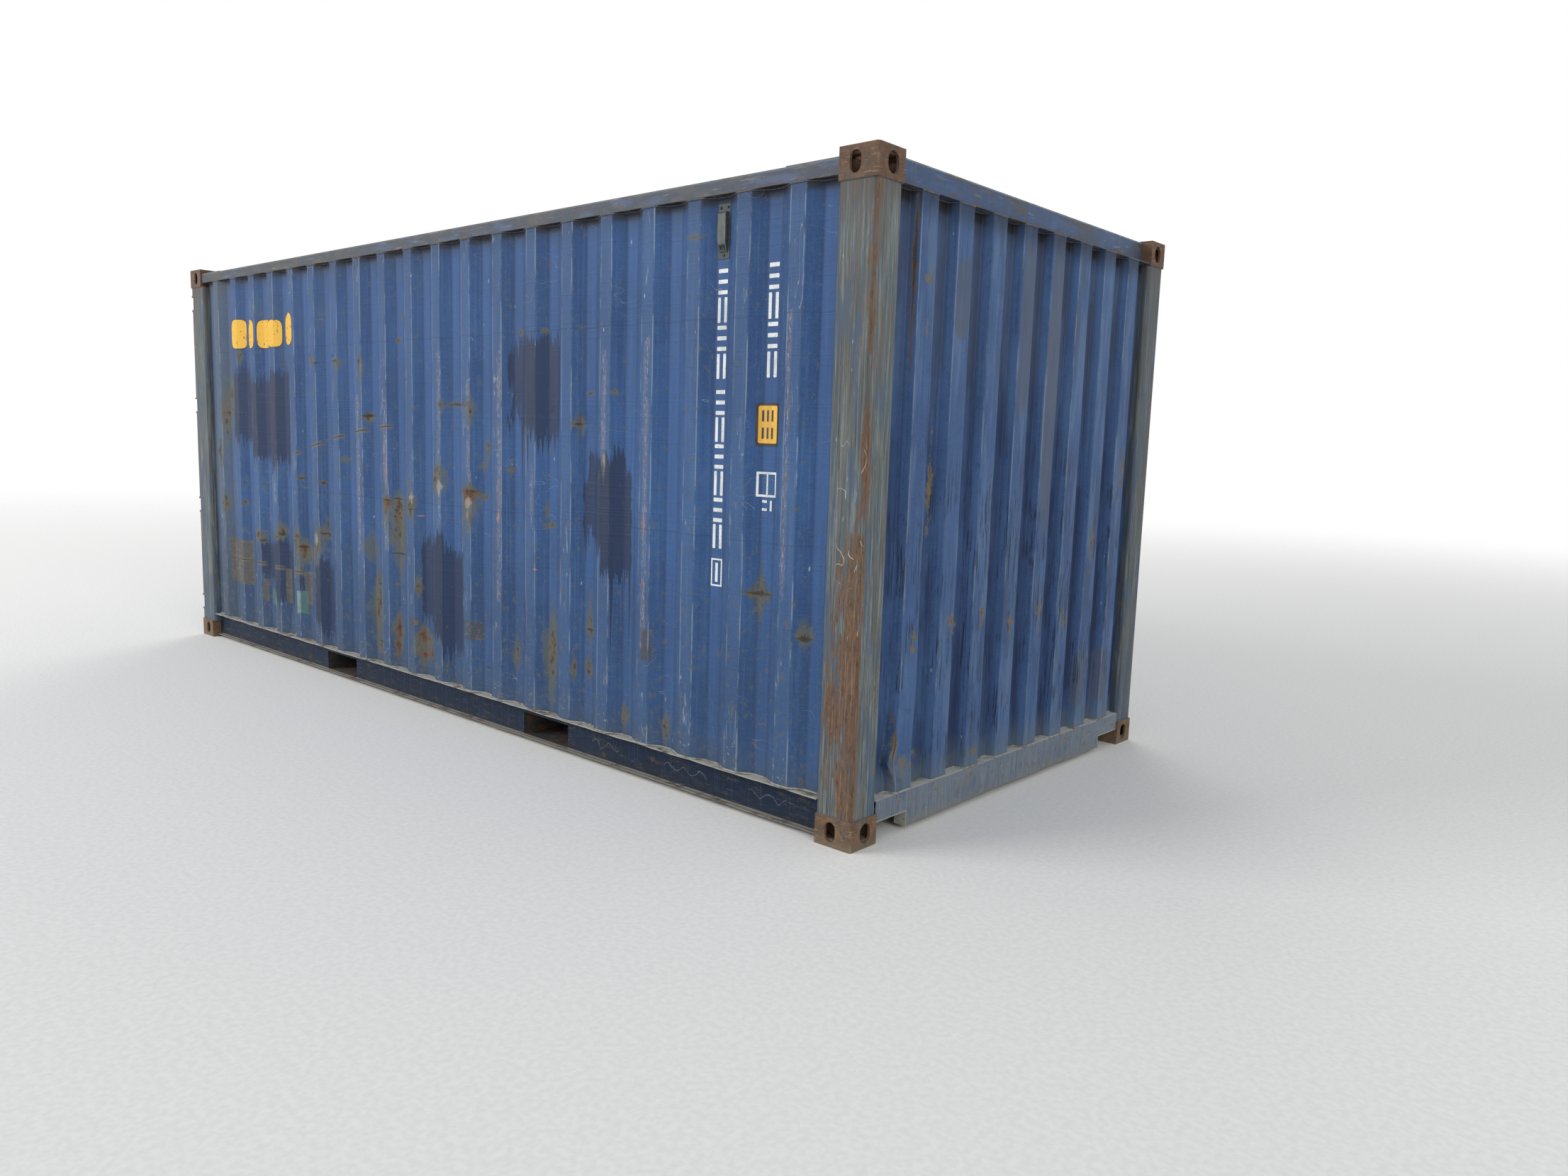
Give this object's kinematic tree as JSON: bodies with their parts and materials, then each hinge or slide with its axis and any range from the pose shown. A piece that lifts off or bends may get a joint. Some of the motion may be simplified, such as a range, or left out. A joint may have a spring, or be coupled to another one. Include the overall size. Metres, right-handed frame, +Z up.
{
  "type": "shipping container",
  "caption": "Closed steel shipping container with corrugated walls, slotted corner castings, fork pockets and locked double doors.",
  "frame": {"origin": "on the ground, under the middle of the container's plan", "axes": "+X towards the blind front end, -X towards the doors, +Y towards the left side, +Z up"},
  "size_m": [6.058, 2.438, 2.591],
  "materials": {
    "casting": "rusted, matt",
    "post": "worn blue-grey paint with rust",
    "wall": "weathered blue paint",
    "top_rail": "weathered blue paint",
    "bottom_rail": "dusty dark blue paint",
    "roof": "faded blue paint",
    "underframe": "dark bitumen coat, rusty",
    "floor": "worn plywood",
    "door": "weathered blue paint",
    "seal": "matt black rubber",
    "hinge": "painted forging with rust",
    "lock_rod": "dull galvanised steel",
    "lock_gear": "dull galvanised steel",
    "ventilator": "dark grey moulding"
  },
  "bodies": {
    "root": {"casting_front_right_bottom": "casting", "casting_front_right_top": "casting", "casting_front_left_bottom": "casting", "casting_front_left_top": "casting", "casting_rear_right_bottom": "casting", "casting_rear_right_top": "casting", "casting_rear_left_bottom": "casting", "casting_rear_left_top": "casting", "front_post_right": "post", "front_post_left": "post", "rear_post_right": "post", "rear_post_left": "post", "top_side_rail_right": "top_rail", "bottom_side_rail_right": "bottom_rail", "right_wall": "wall", "door_frame_right": "door", "door_panel_right": "door", "door_seal_right": "seal", "hinges_right": "hinge", "rod_brackets_right": "lock_gear", "ventilator_right": "ventilator", "lock_rod_right_outer": "lock_rod", "lock_rod_right_inner": "lock_rod", "top_side_rail_left": "top_rail", "bottom_side_rail_left": "bottom_rail", "left_wall": "wall", "door_frame_left": "door", "door_panel_left": "door", "door_seal_left": "seal", "hinges_left": "hinge", "rod_brackets_left": "lock_gear", "ventilator_left": "ventilator", "lock_rod_left_outer": "lock_rod", "lock_rod_left_inner": "lock_rod", "front_top_rail": "top_rail", "rear_header": "top_rail", "front_sill": "bottom_rail", "door_sill": "bottom_rail", "front_wall": "wall", "roof": "roof", "floor_boards": "floor", "cross_members": "underframe", "fork_pocket_front": "underframe", "fork_pocket_rear": "underframe", "cam_keepers": "lock_gear"}
  },
  "joints": []
}
